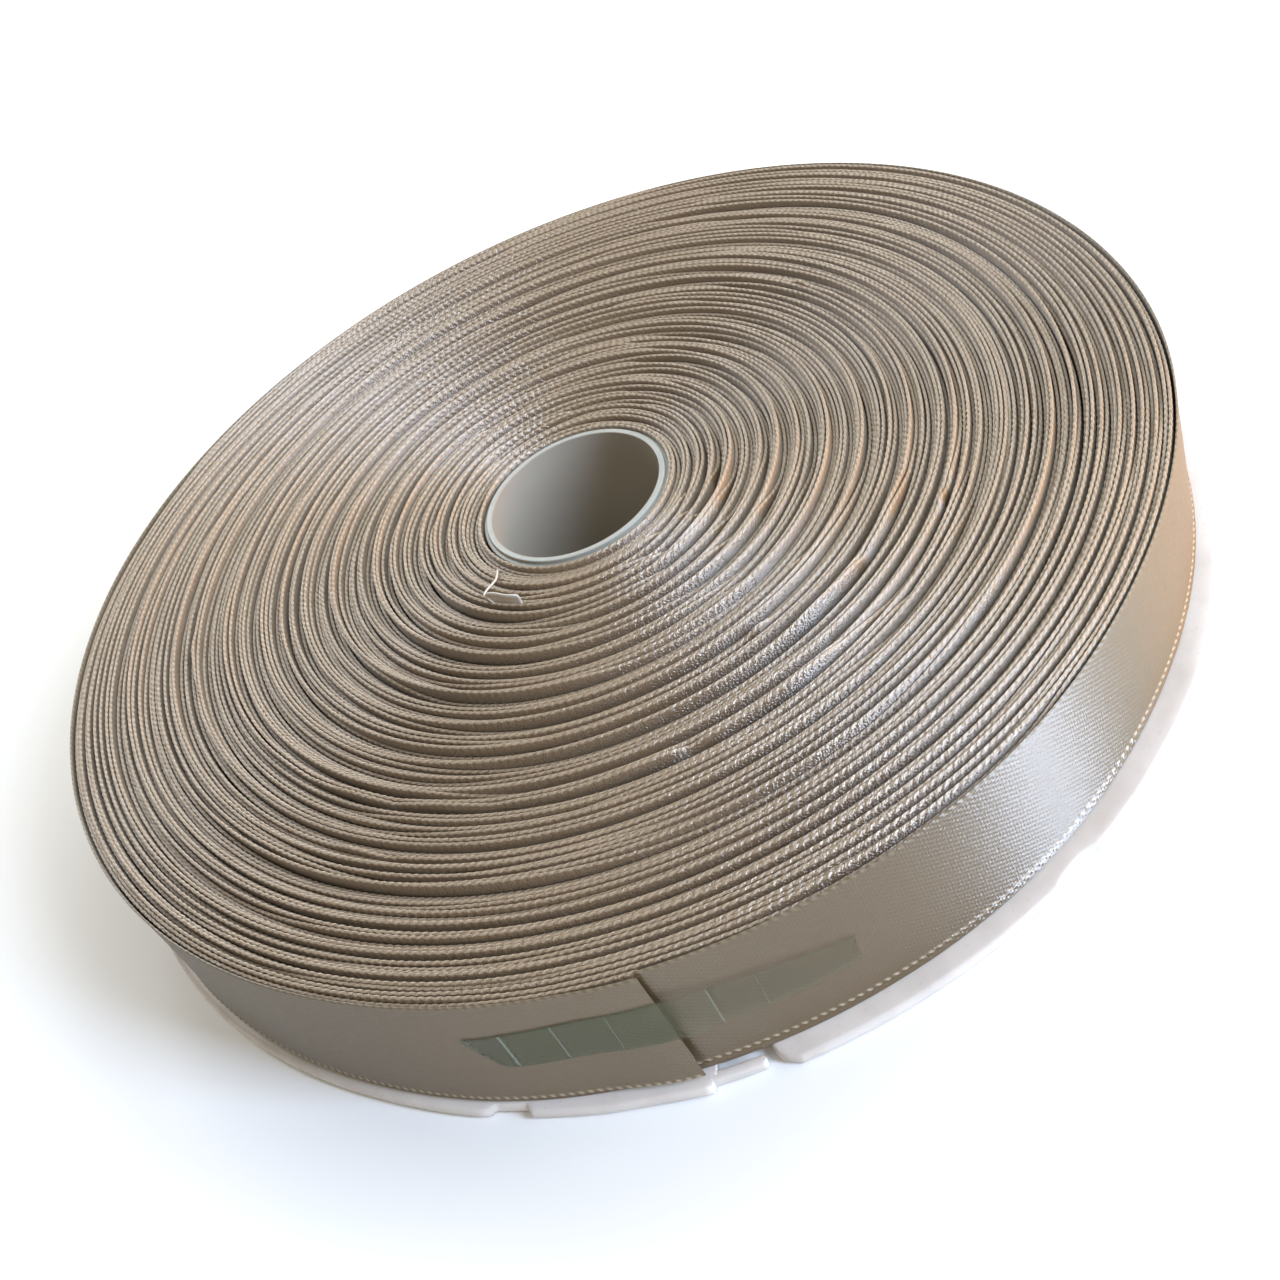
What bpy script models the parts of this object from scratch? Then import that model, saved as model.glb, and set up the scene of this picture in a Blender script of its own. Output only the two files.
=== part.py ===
"""Roll of satin ribbon wound on a one-flange plastic spool, lying on its flange.

The origin is the middle of the flange's flat underside, +Z is the spool's axis,
and azimuths are in degrees from +X, counter-clockwise seen from above. The cut
end of the ribbon faces -Y. Sizes are in millimetres and become metres in place().
"""
import math

import bmesh
import bpy
from mathutils import Vector

MM = 0.001

# Spool: a thin flange below and the stepped tube that the ribbon is wound on
FLANGE_RADIUS = 102.9
FLANGE_THICKNESS = 1.8
FLANGE_EDGE_ROUND = 0.45
FLANGE_SEGMENTS = 144
BORE_RADIUS = 15.5
TUBE_RADIUS = 17.1
RIM_STEP_RADIUS = 17.9
RIM_STEP_DEPTH = 1.6
RIM_LIP_RADIUS = 16.6
RIM_LIP_RISE = 0.7
TUBE_SEGMENTS = 64

# Ribbon: width, the wound pack's inner radius and the gap kept between pieces
RIBBON_WIDTH = 24.0
PACK_INNER_RADIUS = 18.3
PIECE_GAP = 0.3
PACK_SECTIONS = 72
SHEET_THICKNESS = 1.0

# Height of the lowest turns and of the outer wrap's lower edge above the flange
LOWEST_LIFT = 0.3
OUTER_LIFT = 1.0

# Azimuths at which the table of raised turns gives each crest's radius
LEFT, FRONT, RIGHT = 200.0, 270.0, 340.0

# Each raised turn: crest radius at the left, front and right, and its rise
RAISED_TURNS = [
    dict(left=24.0, front=24.3, right=23.1, rise=1.4),
    dict(left=26.8, front=27.1, right=25.5, rise=1.8),
    dict(left=29.1, front=29.4, right=28.7, rise=2.2),
    dict(left=32.2, front=31.8, right=31.0, rise=1.4),
    dict(left=34.5, front=34.9, right=34.0, rise=1.8),
    dict(left=38.0, front=37.8, right=37.0, rise=2.3),
    dict(left=41.1, front=41.1, right=40.5, rise=1.8),
    dict(left=46.1, front=45.5, right=45.1, rise=2.3),
    dict(left=48.7, front=49.4, right=47.9, rise=1.2),
    dict(left=51.9, front=51.7, right=51.3, rise=2.1),
    dict(left=56.3, front=56.0, right=56.0, rise=2.0),
    dict(left=59.7, front=59.5, right=59.1, rise=2.3),
    dict(left=64.5, front=63.9, right=64.0, rise=2.1),
    dict(left=66.8, front=67.1, right=66.2, rise=2.3),
    dict(left=70.2, front=71.0, right=69.7, rise=1.4),
    dict(left=73.5, front=73.6, right=73.4, rise=2.1),
    dict(left=77.7, front=77.1, right=76.9, rise=2.0),
    dict(left=80.8, front=80.3, right=80.7, rise=2.2),
    dict(left=84.5, front=84.9, right=84.3, rise=1.7),
    dict(left=86.7, front=87.1, right=86.9, rise=1.9),
    dict(left=90.9, front=91.1, right=90.8, rise=1.8),
    dict(left=93.4, front=94.5, right=94.1, rise=1.5),
    dict(left=96.2, front=96.9, right=97.2, rise=1.3),
]

# Where the trough lies between two crests, as a share of their distance
TROUGH_SHARE = 0.42
OUTER_CREST_MARGIN = 0.6

# Outer wrap: radius of its outer face at a few azimuths
OUTER_WRAP = [
    dict(azimuth=20.0, radius=99.2),
    dict(azimuth=95.0, radius=98.2),
    dict(azimuth=150.0, radius=98.6),
    dict(azimuth=200.0, radius=98.4),
    dict(azimuth=228.0, radius=98.3),
    dict(azimuth=252.0, radius=98.9),
    dict(azimuth=285.0, radius=99.3),
    dict(azimuth=312.0, radius=98.6),
    dict(azimuth=345.0, radius=99.2),
]

# Loose end: where it leaves the pack, the slightly slanted cut and its flare
END_ROOT_AZIMUTH = 197.0
CUT_AZIMUTH_TOP = 258.0
CUT_AZIMUTH_BOTTOM = 258.6
FLARE_LENGTH = 9.0
FLARE_TOP = 0.5
FLARE_BOTTOM = 1.5
END_STEP = 3.0

# Tape over the cut: lower and upper edge above the flange at a few azimuths
TAPE_EDGES = [
    dict(azimuth=243.0, low=10.6, high=16.3),
    dict(azimuth=246.0, low=9.5, high=17.3),
    dict(azimuth=252.0, low=9.9, high=18.2),
    dict(azimuth=258.0, low=9.3, high=18.1),
    dict(azimuth=263.0, low=8.6, high=17.0),
    dict(azimuth=269.0, low=8.9, high=15.9),
    dict(azimuth=273.0, low=9.6, high=14.4),
]
TAPE_STEP = 2.0
TAPE_SETTLE = 5.0

# Film tab that stands up between two turns near the tube
TAB_AZIMUTHS = (217.0, 236.0)
TAB_STEP = 3.8
TAB_FOOT_RADIUS = 26.6
TAB_LEAN = 1.6
TAB_CLEAR = 2.3
TAB_HEIGHT = 2.2

# Rim cuts of the flange, as corners at an azimuth and a radius: a wide lock notch
# with a slit that frees a springy tongue, and a plain notch left of it
LOCK_NOTCH = [
    dict(azimuth=258.8, radius=104.5),
    dict(azimuth=258.8, radius=101.2),
    dict(azimuth=261.0, radius=101.2),
    dict(azimuth=263.2, radius=101.2),
    dict(azimuth=263.2, radius=99.95),
    dict(azimuth=261.4, radius=99.95),
    dict(azimuth=259.6, radius=99.95),
    dict(azimuth=259.6, radius=99.2),
    dict(azimuth=261.8, radius=99.2),
    dict(azimuth=264.0, radius=99.2),
    dict(azimuth=264.0, radius=101.2),
    dict(azimuth=265.2, radius=101.2),
    dict(azimuth=265.2, radius=104.5),
]
PLAIN_NOTCH = [
    dict(azimuth=237.6, radius=104.5),
    dict(azimuth=239.4, radius=100.85),
    dict(azimuth=241.6, radius=100.85),
    dict(azimuth=243.8, radius=100.85),
    dict(azimuth=243.8, radius=104.5),
]
SCALLOP_AZIMUTH = 291.7
SCALLOP_RADIUS = 10.7
SCALLOP_DEPTH = 0.9
CUTTER_OVERSHOOT = 2.0

PACK_BASE = FLANGE_THICKNESS + PIECE_GAP
TOP_FLOOR = FLANGE_THICKNESS + LOWEST_LIFT + RIBBON_WIDTH
OUTER_TOP = FLANGE_THICKNESS + OUTER_LIFT + RIBBON_WIDTH


def place(radius, azimuth, height):
    """Turn millimetres round the axis into a point in metres."""
    angle = math.radians(azimuth)
    return Vector((radius * math.cos(angle), radius * math.sin(angle), height)) * MM


def ease(share):
    """Smooth step from 0 to 1."""
    share = min(max(share, 0.0), 1.0)
    return share * share * (3.0 - 2.0 * share)


def read_table(rows, column, azimuth):
    """Smoothly read one column of a table whose rows stand at azimuths."""
    last = len(rows) - 1
    if azimuth <= rows[0]["azimuth"]:
        return rows[0][column]
    for low, high in zip(rows[:last], rows[1:]):
        if azimuth <= high["azimuth"]:
            span = high["azimuth"] - low["azimuth"]
            share = ease((azimuth - low["azimuth"]) / span)
            return low[column] + (high[column] - low[column]) * share
    return rows[last][column]


def wrap_radius(azimuth):
    """Radius of the outer wrap's outer face."""
    first = dict(OUTER_WRAP[0], azimuth=OUTER_WRAP[0]["azimuth"] + 360.0)
    turned = (azimuth - OUTER_WRAP[0]["azimuth"]) % 360.0 + OUTER_WRAP[0]["azimuth"]
    return read_table(OUTER_WRAP + [first], "radius", turned)


def crest_radius(turn, azimuth):
    """Radius of a raised turn's crest, which wanders a little round the roll."""
    stations = [
        dict(azimuth=LEFT, radius=turn["left"]),
        dict(azimuth=FRONT, radius=turn["front"]),
        dict(azimuth=RIGHT, radius=turn["right"]),
        dict(azimuth=LEFT + 360.0, radius=turn["left"]),
    ]
    return read_table(stations, "radius", (azimuth - LEFT) % 360.0 + LEFT)


def flare(azimuth, height):
    """How far the loose end stands off the roll close to its cut."""
    share = (height - FLANGE_THICKNESS) / RIBBON_WIDTH
    reach = FLARE_BOTTOM + (FLARE_TOP - FLARE_BOTTOM) * share
    return reach * ease(1.0 - (CUT_AZIMUTH_TOP - azimuth) / FLARE_LENGTH)


def new_material(name, colour, roughness, alpha=1.0):
    """Principled material with a base colour and a roughness."""
    material = bpy.data.materials.new(name)
    material.use_nodes = True
    shader = material.node_tree.nodes["Principled BSDF"]
    shader.inputs["Base Color"].default_value = (*colour, 1.0)
    shader.inputs["Roughness"].default_value = roughness
    shader.inputs["Metallic"].default_value = 0.0
    shader.inputs["Alpha"].default_value = alpha
    return material


def finish_object(name, bm, material, smooth_angle=30.0):
    """Make an object of a closed bmesh, facing out and shaded smooth."""
    bmesh.ops.triangulate(bm, faces=bm.faces[:])
    bmesh.ops.recalc_face_normals(bm, faces=bm.faces[:])
    mesh = bpy.data.meshes.new(name)
    bm.to_mesh(mesh)
    bm.free()
    mesh.shade_smooth()
    mesh.set_sharp_from_angle(angle=math.radians(smooth_angle))
    if material is not None:
        mesh.materials.append(material)
    body = bpy.data.objects.new(name, mesh)
    bpy.context.scene.collection.objects.link(body)
    return body


def skin_sections(name, sections, material, closed):
    """Bridge equal cross-sections: round to the first one, or capped at both ends."""
    bm = bmesh.new()
    rings = [[bm.verts.new(point) for point in section] for section in sections]
    pairs = list(zip(rings[:-1], rings[1:]))
    if closed:
        pairs.append((rings[-1], rings[0]))
    else:
        bm.faces.new(rings[0])
        bm.faces.new(rings[-1])
    count = len(rings[0])
    for ring, after in pairs:
        for i in range(count):
            j = (i + 1) % count
            bm.faces.new((ring[i], ring[j], after[j], after[i]))
    return finish_object(name, bm, material)


def turned_ring(name, profile, segments, material):
    """Turn a closed profile of (radius, height) points round the axis."""
    sections = []
    for k in range(segments):
        azimuth = 360.0 * k / segments
        sections.append([place(radius, azimuth, height) for radius, height in profile])
    return skin_sections(name, sections, material, closed=True)


def spans(start, end, step):
    """Evenly spaced azimuths from start to end, about one step apart."""
    count = max(2, round((end - start) / step))
    return [start + (end - start) * k / count for k in range(count + 1)]


def pack_outer(azimuth):
    """Radius of the wound pack, cut back under the loose end's sheet."""
    covered = END_ROOT_AZIMUTH < azimuth < CUT_AZIMUTH_BOTTOM
    return wrap_radius(azimuth) - (SHEET_THICKNESS + PIECE_GAP if covered else 0.0)


def pack_section(azimuth):
    """Cross-section of the pack, whose top saws up and down over the raised turns."""
    outer = pack_outer(azimuth)
    limit = outer - OUTER_CREST_MARGIN
    crests = [min(crest_radius(turn, azimuth), limit) for turn in RAISED_TURNS]
    section = [(PACK_INNER_RADIUS, PACK_BASE), (PACK_INNER_RADIUS, TOP_FLOOR)]
    for turn, crest, after in zip(RAISED_TURNS, crests, crests[1:] + [outer]):
        section.append((crest, TOP_FLOOR + turn["rise"]))
        section.append((crest + (after - crest) * TROUGH_SHARE, TOP_FLOOR))
    section.append((outer, OUTER_TOP))
    section.append((outer, PACK_BASE))
    return [place(radius, azimuth, height) for radius, height in section]


def make_ribbon_roll(material):
    """All wound turns as one ring with its main raised turns."""
    step = 360.0 / PACK_SECTIONS
    azimuths = {k * step for k in range(PACK_SECTIONS)}
    azimuths |= {END_ROOT_AZIMUTH, END_ROOT_AZIMUTH + 0.3}
    azimuths |= {CUT_AZIMUTH_BOTTOM - 0.3, CUT_AZIMUTH_BOTTOM + 0.3}
    sections = [pack_section(azimuth) for azimuth in sorted(azimuths)]
    return skin_sections("ribbon_roll", sections, material, closed=True)


def make_ribbon_end(material):
    """The last stretch of ribbon, lying on the roll up to its cut end."""
    low = FLANGE_THICKNESS + OUTER_LIFT
    high = low + RIBBON_WIDTH
    root = END_ROOT_AZIMUTH + 0.7
    sections = []
    for azimuth in spans(root, CUT_AZIMUTH_TOP, END_STEP):
        along = (azimuth - root) / (CUT_AZIMUTH_TOP - root)
        bottom_azimuth = root + (CUT_AZIMUTH_BOTTOM - 0.6 - root) * along
        outer = wrap_radius(azimuth)
        low_radius = outer + flare(azimuth, low)
        high_radius = outer + flare(azimuth, high)
        sections.append([
            place(low_radius - SHEET_THICKNESS, bottom_azimuth, low),
            place(low_radius, bottom_azimuth, low),
            place(high_radius, azimuth, high),
            place(high_radius - SHEET_THICKNESS, azimuth, high),
        ])
    return skin_sections("ribbon_end", sections, material, closed=False)


def make_end_tape(material):
    """Clear tape that bridges the cut and holds the loose end down."""
    sections = []
    for azimuth in spans(TAPE_EDGES[0]["azimuth"], TAPE_EDGES[-1]["azimuth"], TAPE_STEP):
        low = FLANGE_THICKNESS + read_table(TAPE_EDGES, "low", azimuth)
        high = FLANGE_THICKNESS + read_table(TAPE_EDGES, "high", azimuth)
        stand_off = flare(min(azimuth, CUT_AZIMUTH_TOP), low)
        stand_off *= 1.0 - ease((azimuth - CUT_AZIMUTH_BOTTOM - 1.0) / TAPE_SETTLE)
        inner = wrap_radius(azimuth) + stand_off + PIECE_GAP
        outer = inner + SHEET_THICKNESS
        corners = ((inner, low), (outer, low), (outer, high), (inner, high))
        sections.append([place(radius, azimuth, height) for radius, height in corners])
    return skin_sections("end_tape", sections, material, closed=False)


def make_start_tab(material):
    """Small film tab leaning towards the tube, just above the turns."""
    foot = TOP_FLOOR + TAB_CLEAR
    head = foot + TAB_HEIGHT
    sections = []
    for azimuth in spans(*TAB_AZIMUTHS, TAB_STEP):
        corners = (
            (TAB_FOOT_RADIUS - SHEET_THICKNESS, foot),
            (TAB_FOOT_RADIUS, foot),
            (TAB_FOOT_RADIUS - TAB_LEAN, head),
            (TAB_FOOT_RADIUS - TAB_LEAN - SHEET_THICKNESS, head),
        )
        sections.append([place(radius, azimuth, height) for radius, height in corners])
    return skin_sections("start_tab", sections, material, closed=False)


def make_core_tube(material):
    """Tube of the spool, with a raised inner lip and an outer step at its rim."""
    profile = [
        (BORE_RADIUS, 0.0),
        (TUBE_RADIUS, 0.0),
        (TUBE_RADIUS, OUTER_TOP - RIM_STEP_DEPTH),
        (RIM_STEP_RADIUS, OUTER_TOP - RIM_STEP_DEPTH),
        (RIM_STEP_RADIUS, OUTER_TOP),
        (RIM_LIP_RADIUS, OUTER_TOP),
        (RIM_LIP_RADIUS, OUTER_TOP + RIM_LIP_RISE),
        (BORE_RADIUS, OUTER_TOP + RIM_LIP_RISE),
    ]
    return turned_ring("core_tube", profile, TUBE_SEGMENTS, material)


def make_cutter(name, outline):
    """Upright prism over an outline, wire-drawn and left out of renders."""
    bm = bmesh.new()
    low = [bm.verts.new(point - Vector((0.0, 0.0, CUTTER_OVERSHOOT * MM))) for point in outline]
    face = bm.faces.new(low)
    grown = bmesh.ops.extrude_face_region(bm, geom=[face])
    raised = [item for item in grown["geom"] if isinstance(item, bmesh.types.BMVert)]
    height = FLANGE_THICKNESS + 2.0 * CUTTER_OVERSHOOT
    bmesh.ops.translate(bm, verts=raised, vec=(0.0, 0.0, height * MM))
    cutter = finish_object(name, bm, None)
    cutter.hide_render = True
    cutter.display_type = 'WIRE'
    return cutter


def polar_outline(corners):
    """Outline on the flange's underside from corners at an azimuth and a radius."""
    return [place(corner["radius"], corner["azimuth"], 0.0) for corner in corners]


def scallop_outline(points=32):
    """Circle that bites a shallow crescent out of the flange's rim."""
    middle = place(FLANGE_RADIUS - SCALLOP_DEPTH + SCALLOP_RADIUS, SCALLOP_AZIMUTH, 0.0)
    return [middle + place(SCALLOP_RADIUS, 360.0 * k / points, 0.0) for k in range(points)]


def make_spool_flange(material):
    """Thin disc with rounded edges, a hole for the tube and its rim cuts."""
    hole = TUBE_RADIUS + PIECE_GAP
    rounding = FLANGE_EDGE_ROUND
    rim = FLANGE_RADIUS
    profile = [
        (hole, 0.0),
        (rim - rounding, 0.0),
        (rim, rounding),
        (rim, FLANGE_THICKNESS - rounding),
        (rim - rounding, FLANGE_THICKNESS),
        (hole, FLANGE_THICKNESS),
    ]
    flange = turned_ring("spool_flange", profile, FLANGE_SEGMENTS, material)
    outlines = {
        "lock_notch_cutter": polar_outline(LOCK_NOTCH),
        "plain_notch_cutter": polar_outline(PLAIN_NOTCH),
        "scallop_cutter": scallop_outline(),
    }
    for name, outline in outlines.items():
        cut = flange.modifiers.new(name, 'BOOLEAN')
        cut.operation = 'DIFFERENCE'
        cut.solver = 'EXACT'
        cut.object = make_cutter(name, outline)
    return flange


for leftover in list(bpy.data.objects):
    bpy.data.objects.remove(leftover, do_unlink=True)

ribbon = new_material("taupe_satin", (0.30, 0.24, 0.18), 0.38)
plastic = new_material("white_polystyrene", (0.72, 0.71, 0.72), 0.28)
tube_plastic = new_material("white_tube_polystyrene", (0.68, 0.70, 0.68), 0.35)
tape = new_material("clear_tape_film", (0.30, 0.30, 0.24), 0.2, alpha=0.6)
film = new_material("clear_tab_film", (0.75, 0.75, 0.72), 0.25, alpha=0.7)

make_spool_flange(plastic)
make_core_tube(tube_plastic)
make_ribbon_roll(ribbon)
make_ribbon_end(ribbon)
make_end_tape(tape)
make_start_tab(film)
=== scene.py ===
# %% [markdown]
# # Dressing a roll of satin ribbon
# The real thing is some 46 m of double-faced satin ribbon, wound edge-up on a
# thin white spool that has one flange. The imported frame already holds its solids:
# a ring for the wound turns, the loose end, the tape, the flange and the tube.
# This notebook gives them their looks. It works in millimetres and turns them
# into metres when a mesh is made.

# %% Load the frame
import math
from collections import namedtuple

import bpy
import numpy as np
from mathutils import Matrix, Vector


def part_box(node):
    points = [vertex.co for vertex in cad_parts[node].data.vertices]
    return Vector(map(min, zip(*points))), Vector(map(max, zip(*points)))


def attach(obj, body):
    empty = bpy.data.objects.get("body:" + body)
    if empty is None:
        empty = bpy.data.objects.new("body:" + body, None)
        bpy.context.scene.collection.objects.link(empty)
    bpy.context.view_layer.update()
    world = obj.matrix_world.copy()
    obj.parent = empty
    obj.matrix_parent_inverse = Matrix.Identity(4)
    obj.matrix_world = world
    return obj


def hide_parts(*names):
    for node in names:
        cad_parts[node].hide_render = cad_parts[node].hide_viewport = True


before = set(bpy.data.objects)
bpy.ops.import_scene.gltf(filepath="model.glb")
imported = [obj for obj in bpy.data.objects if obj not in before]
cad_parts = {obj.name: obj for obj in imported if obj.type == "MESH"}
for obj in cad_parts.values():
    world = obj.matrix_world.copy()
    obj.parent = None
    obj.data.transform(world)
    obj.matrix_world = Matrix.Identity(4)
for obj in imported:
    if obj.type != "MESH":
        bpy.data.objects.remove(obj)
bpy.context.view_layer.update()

MM = 0.001


def put_in_scene(name, data):
    """New object of some data, linked to the scene."""
    thing = bpy.data.objects.new(name, data)
    bpy.context.scene.collection.objects.link(thing)
    return thing


def highest_mm(node):
    """Highest corner of a frame node's box, in millimetres."""
    return np.array(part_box(node)[1]) / MM


FLANGE_RADIUS, _, FLANGE_TOP = highest_mm("spool_flange")
print("flange", FLANGE_RADIUS, "mm radius, its top at", FLANGE_TOP, "mm")

# %% [markdown]
# ## The camera
# A photo of a round thing hides its own scale, so the viewpoint comes first: the
# curves shaped later are matched to the photo through it. The camera looks down at
# the roll by about 42 degrees and is rolled by 27 degrees, so the roll seems to
# lean in the picture. Depth of field stays off.

# %% Camera
CAMERA_PLACE = (0.0, -209.2, 176.7)
CAMERA_YAW = -0.45
CAMERA_PITCH = 41.81
CAMERA_ROLL = -27.47
CAMERA_LENS = 41.61
SENSOR_WIDTH = 36.0


def turn(degrees, axis):
    """Rotation matrix about one axis."""
    return Matrix.Rotation(math.radians(degrees), 4, axis)


camera_data = bpy.data.cameras.new("camera")
camera_data.lens = CAMERA_LENS
camera_data.sensor_width = SENSOR_WIDTH
camera_data.clip_start = 0.01
camera_data.clip_end = 20.0
camera = put_in_scene("camera", camera_data)
aim = turn(-CAMERA_YAW, 'Z') @ turn(90.0 - CAMERA_PITCH, 'X') @ turn(CAMERA_ROLL, 'Z')
camera.matrix_world = Matrix.Translation(Vector(CAMERA_PLACE) * MM) @ aim
bpy.context.scene.camera = camera
print("camera", round((Vector(CAMERA_PLACE)).length), "mm from the roll's middle")

# %% [markdown]
# ## Helpers for colours, nodes and meshes
# Colours are picked as sRGB hex values, as a paint shop or a web page gives them,
# and one function turns them to the linear values that the shaders mix. One
# function adds a shader node with its settings and links. One skins a row of equal
# cross-sections, which is how a winder lays a strip: the same section, moved along.
# A strip of 46 m would be a hair-thin island in a texture, so its baking map is laid
# out in rows, one lap to a row.

# %% Colour and node helpers
def linear(code):
    """Linear RGBA of an sRGB hex colour."""
    parts = [int(code[i:i + 2], 16) / 255.0 for i in (1, 3, 5)]
    light = [c / 12.92 if c <= 0.04045 else ((c + 0.055) / 1.055) ** 2.4 for c in parts]
    return (*light, 1.0)


def add_node(tree, kind, sockets=None, **settings):
    """Add a shader node; sockets maps its inputs to values, outputs or whole nodes."""
    node = tree.nodes.new("ShaderNode" + kind)
    for name, value in settings.items():
        setattr(node, name, value)
    for name, value in (sockets or {}).items():
        if isinstance(value, bpy.types.Node):
            value = value.outputs[0]
        if isinstance(value, bpy.types.NodeSocket):
            tree.links.new(value, node.inputs[name])
        else:
            node.inputs[name].default_value = value
    return node


def new_material(name):
    """Empty node material and its tree, with only the output left in it."""
    material = bpy.data.materials.new(name)
    material.use_nodes = True
    tree = material.node_tree
    tree.nodes.remove(tree.nodes["Principled BSDF"])
    return material, tree


def show(tree, shader):
    """Link a shader to the material's output."""
    tree.links.new(shader.outputs[0], tree.nodes["Material Output"].inputs["Surface"])


# %% Geometry helpers
def ease(share):
    """Smooth step from 0 to 1, for numbers and arrays."""
    share = np.clip(share, 0.0, 1.0)
    return share * share * (3.0 - 2.0 * share)


def soft_steps(place, values):
    """Value at a place counted in rows of a table, eased from one row to the next."""
    values = np.asarray(values)
    low = np.minimum(place.astype(int), len(values) - 2)
    return values[low] + (values[low + 1] - values[low]) * ease(place - low)


def round_axis(radius, azimuth, height):
    """Points in metres from radius, azimuth in degrees and height."""
    angle = np.radians(azimuth)
    radius, angle, height = np.broadcast_arrays(radius, angle, height)
    return np.stack([radius * np.cos(angle), radius * np.sin(angle), height], -1) * MM


def add_piece(name, mesh, material, slot, *replaced):
    """Link a mesh as a piece of the roll and hide the frame nodes that it replaces."""
    piece = put_in_scene(name, mesh)
    mesh.materials.append(material)
    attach(piece, "root")
    if replaced:
        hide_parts(*replaced)
    print(name, len(mesh.polygons), "faces")
    return piece


ROW_MARGIN = 0.1


def bake_rows(laps, count):
    """Corner UVs that lay a long skin out in rows, one lap of its path to a row."""
    laps = laps - math.floor(laps[0])
    rows = math.floor(laps[-1]) + 1
    row = np.floor(laps[:-1])[:, None, None]
    left = (laps[:-1] - np.floor(laps[:-1]))[:, None, None]
    step = np.diff(laps)[:, None, None]
    column = np.arange(count)[None, :, None]
    low, high = ROW_MARGIN, 1.0 - ROW_MARGIN
    u = (left + step * np.array([0.0, 0.0, 1.0, 1.0])) / (1.0 + step.max())
    v = (row + (column + np.array([low, high, high, low])) / count) / rows
    quads = np.stack(np.broadcast_arrays(u, v), -1).reshape(-1, 2)
    caps = np.full((2 * count, 2), 0.5 / (rows * count))
    return np.concatenate([quads, caps])


def skin(name, points, closed=False, sharp_columns=(), uv=None, laps=None):
    """Mesh over stations x section points; sections are loops, ends are capped."""
    stations, count = points.shape[:2]
    ids = np.arange(stations * count).reshape(stations, count)
    start = ids if closed else ids[:-1]
    after = np.roll(ids, -1, axis=0) if closed else ids[1:]
    quads = np.stack([start, np.roll(start, -1, 1), np.roll(after, -1, 1), after], -1)
    faces = quads.reshape(-1, 4).tolist()
    if not closed:
        faces.append(ids[0][::-1].tolist())
        faces.append(ids[-1].tolist())
    mesh = bpy.data.meshes.new(name)
    mesh.from_pydata(points.reshape(-1, 3).tolist(), [], faces)
    mesh.shade_smooth()
    ends = np.empty(len(mesh.edges) * 2, np.int32)
    mesh.edges.foreach_get("vertices", ends)
    station, column = np.divmod(ends.reshape(-1, 2), count)
    sharp = (column[:, 0] == column[:, 1]) & np.isin(column[:, 0], sharp_columns)
    if not closed:
        sharp |= (station[:, 0] == station[:, 1]) & np.isin(station[:, 0], (0, stations - 1))
    mark = mesh.attributes.new("sharp_edge", 'BOOLEAN', 'EDGE')
    mark.data.foreach_set("value", sharp)
    if uv is not None:
        corner = np.empty(len(mesh.loops), np.int32)
        mesh.loops.foreach_get("vertex_index", corner)
        layer = mesh.uv_layers.new(name="ribbon")
        layer.uv.foreach_set("vector", uv.reshape(-1, 2)[corner].astype(np.float32).ravel())
    if laps is not None:
        layer = mesh.uv_layers.new(name="OFBake")
        rows = bake_rows(laps, count)[:len(mesh.loops)]
        layer.uv.foreach_set("vector", rows.astype(np.float32).ravel())
    return mesh


# %% [markdown]
# ## How the turns stand
# A winder never lays ribbon quite level. Some turns ride up by 1 to 2 mm, the next
# few lie lower, and the eye reads the top as a set of rounded rings. Each row of
# the table is one raised turn: its radius left, in front and right of the middle,
# and how far it stands above the lowest turns. Between the three places the ring
# wanders softly, as the real ones do.

# %% Table of raised turns
RIBBON_WIDTH = 24.0
LOWEST_TOP = FLANGE_TOP + 0.3 + RIBBON_WIDTH
LEFT, FRONT, RIGHT = 200.0, 270.0, 340.0
Raised = namedtuple("Raised", "left front right rise")
RAISED_TURNS = [Raised(*row) for row in (
    (18.0, 18.2, 18.0, 1.1), (21.5, 22.0, 20.8, 1.1), (24.0, 24.3, 23.1, 1.4),
    (26.8, 27.1, 25.5, 1.8), (29.1, 29.4, 28.7, 2.2), (32.2, 31.8, 31.0, 1.4),
    (34.5, 34.9, 34.0, 1.8), (38.0, 37.8, 37.0, 2.3), (41.1, 41.1, 40.5, 1.8),
    (42.7, 43.2, 42.2, 1.3), (46.1, 45.5, 45.1, 2.3), (48.7, 49.4, 47.9, 1.2),
    (51.9, 51.7, 51.3, 2.1), (54.7, 54.4, 54.2, 1.7), (56.3, 56.0, 56.0, 2.0),
    (59.7, 59.5, 59.1, 2.3), (61.2, 61.8, 61.1, 1.3), (64.5, 63.9, 64.0, 2.1),
    (66.8, 67.1, 66.2, 2.3), (68.3, 69.4, 67.9, 1.7), (70.2, 71.0, 69.7, 1.4),
    (73.5, 73.6, 73.4, 2.1), (75.6, 75.7, 74.9, 1.5), (77.7, 77.1, 76.9, 2.0),
    (79.1, 78.4, 78.5, 1.8), (80.8, 80.3, 80.7, 2.2), (82.3, 83.2, 82.9, 1.2),
    (84.5, 84.9, 84.3, 1.7), (86.1, 86.7, 86.6, 1.9), (87.6, 88.6, 88.2, 1.5),
    (90.9, 91.1, 90.8, 1.8), (91.9, 92.8, 92.6, 1.6), (93.4, 94.5, 94.1, 1.5),
    (95.0, 96.1, 96.0, 1.4), (96.7, 97.3, 97.5, 1.2),
)]
BACK_WANDER = 0.35
draw = np.random.default_rng(46)
wander_phase = draw.uniform(0.0, 2.0 * math.pi, len(RAISED_TURNS))


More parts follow.
